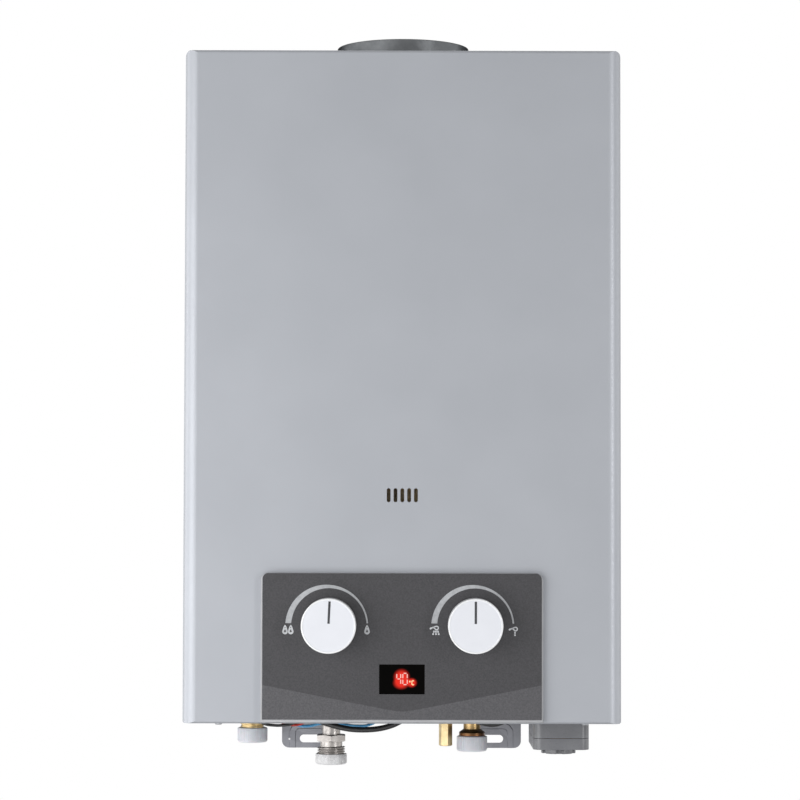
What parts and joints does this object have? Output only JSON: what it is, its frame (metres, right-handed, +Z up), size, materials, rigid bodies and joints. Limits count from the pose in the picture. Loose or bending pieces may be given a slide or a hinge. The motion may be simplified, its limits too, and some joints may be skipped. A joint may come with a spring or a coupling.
{
  "type": "gas water heater",
  "caption": "Wall-hung gas water heater: painted casing with flue collar, front panel with knobs and display, capped gas and water connections and a battery box below.",
  "frame": {"origin": "on the wall face of the back plate, on the centre line, level with the casing's lower edge", "axes": "+Z up, +Y into the wall, so the front faces -Y, and +X to the viewer's right"},
  "size_m": [0.29, 0.1483, 0.4894],
  "materials": {
    "cover_enamel": "satin silver-grey paint on sheet steel",
    "zinc_sheet": "galvanised sheet steel",
    "screw_zinc": "zinc plated",
    "panel_rim": "moulded plastic, silver-grey",
    "panel_print": "printed film, dark grey metallic",
    "window_black": "smoked acrylic",
    "board_green": "circuit board",
    "flue_steel": "dark steel sheet",
    "copper": "copper, oxygen-free, lightly tarnished",
    "mica": "mica sheet",
    "ceramic_white": "fired alumina",
    "burner_steel": "heat-tinted stainless steel",
    "valve_alloy": "die-cast alloy",
    "brass": "turned brass",
    "nickel": "nickel plated steel",
    "rubber_black": "moulded rubber",
    "black_plastic": "moulded black plastic",
    "igniter_plastic": "moulded plastic",
    "knob_white": "white ABS",
    "pointer_dark": "dark inlay",
    "cap_white": "soft white polyethylene",
    "cap_clear": "translucent polyethylene",
    "box_grey": "grey ABS",
    "cell_jacket": "printed cell jacket",
    "wire_black": "vinyl insulation",
    "wire_blue": "vinyl insulation",
    "wire_red": "vinyl insulation"
  },
  "bodies": {
    "chassis": {"back_plate": "zinc_sheet", "base_plate": "zinc_sheet", "front_cover": "cover_enamel", "cover_screws": "screw_zinc", "panel_base": "panel_rim", "panel_film": "panel_print", "display_window": "window_black", "display_board": "board_green", "flue_hood": "zinc_sheet", "flue_collar": "flue_steel", "core_brackets": "zinc_sheet", "combustion_chamber": "copper", "sight_window": "mica", "exchanger_fins": "copper", "exchanger_tubes": "copper", "cold_pipe": "copper", "hot_pipe": "copper", "overheat_switch": "ceramic_white", "burner_tray": "zinc_sheet", "burner_bars": "burner_steel", "gas_manifold": "zinc_sheet", "gas_riser": "zinc_sheet", "ignition_electrode": "ceramic_white", "flame_sensor": "ceramic_white", "gas_valve_body": "valve_alloy", "gas_inlet": "nickel", "solenoid": "black_plastic", "gland_nuts": "brass", "valve_brackets": "zinc_sheet", "water_valve_body": "brass", "diaphragm": "rubber_black", "diaphragm_cover": "valve_alloy", "valve_screws": "screw_zinc", "inlet_fitting": "brass", "drain_stub": "brass", "outlet_fitting": "brass", "microswitch": "black_plastic", "igniter_box": "igniter_plastic", "power_switch": "black_plastic", "usb_socket": "nickel", "battery_box": "box_grey", "battery_cells": "cell_jacket", "wire_sleeve": "wire_black", "wire_black": "wire_black", "wire_blue": "wire_blue", "wire_red": "wire_red"},
    "gas_control": {"gas_knob": "knob_white", "gas_pointer": "pointer_dark", "gas_spindle": "nickel"},
    "water_control": {"water_knob": "knob_white", "water_pointer": "pointer_dark", "water_spindle": "nickel"},
    "push_rod": {"push_rod": "nickel"},
    "switch_lever": {"switch_lever": "screw_zinc"},
    "switch_rocker": {"switch_rocker": "black_plastic"},
    "battery_lid": {"battery_lid": "box_grey"},
    "battery_lock": {"battery_lock": "box_grey"},
    "outlet_cap": {"outlet_cap": "cap_white"},
    "inlet_cap": {"inlet_cap": "cap_white"},
    "gas_cap": {"gas_cap": "cap_clear"}
  },
  "joints": [
    {"name": "gas_knob_turn", "type": "hinge", "parent": "chassis", "child": "gas_control", "pos_m": [-0.048, -0.14, 0.065], "axis": [0, 1, 0], "range_deg": [-90, 90]},
    {"name": "water_knob_turn", "type": "hinge", "parent": "chassis", "child": "water_control", "pos_m": [0.048, -0.14, 0.065], "axis": [0, 1, 0], "range_deg": [-90, 90]},
    {"name": "push_rod_slide", "type": "slide", "parent": "chassis", "child": "push_rod", "axis": [-1, 0, 0], "range_m": [0, 0.004], "stiffness_N_per_m": 200},
    {"name": "switch_lever_turn", "type": "hinge", "parent": "chassis", "child": "switch_lever", "pos_m": [-0.0092, -0.058, 0.086], "axis": [0, 1, 0], "range_deg": [0, 15]},
    {"name": "rocker_tip", "type": "hinge", "parent": "chassis", "child": "switch_rocker", "pos_m": [0.008, -0.04, 0.004], "axis": [0, 1, 0], "range_deg": [0, 16]},
    {"name": "battery_lid_slide", "type": "slide", "parent": "chassis", "child": "battery_lid", "axis": [0, 0, -1], "range_m": [0, 0.045]},
    {"name": "battery_lock_turn", "type": "hinge", "parent": "battery_lid", "child": "battery_lock", "pos_m": [0.1065, -0.0655, -0.021], "axis": [0, 0, 1], "range_deg": [0, 90]},
    {"name": "outlet_cap_pull", "type": "slide", "parent": "chassis", "child": "outlet_cap", "axis": [0, 0, -1], "range_m": [0, 0.03]},
    {"name": "inlet_cap_pull", "type": "slide", "parent": "chassis", "child": "inlet_cap", "axis": [0, 0, -1], "range_m": [0, 0.03]},
    {"name": "gas_cap_pull", "type": "slide", "parent": "chassis", "child": "gas_cap", "axis": [0, 0, -1], "range_m": [0, 0.03]}
  ],
  "couplings": [
    {"joint": "switch_lever_turn", "follows": "push_rod_slide", "rad_per_m": 65}
  ]
}
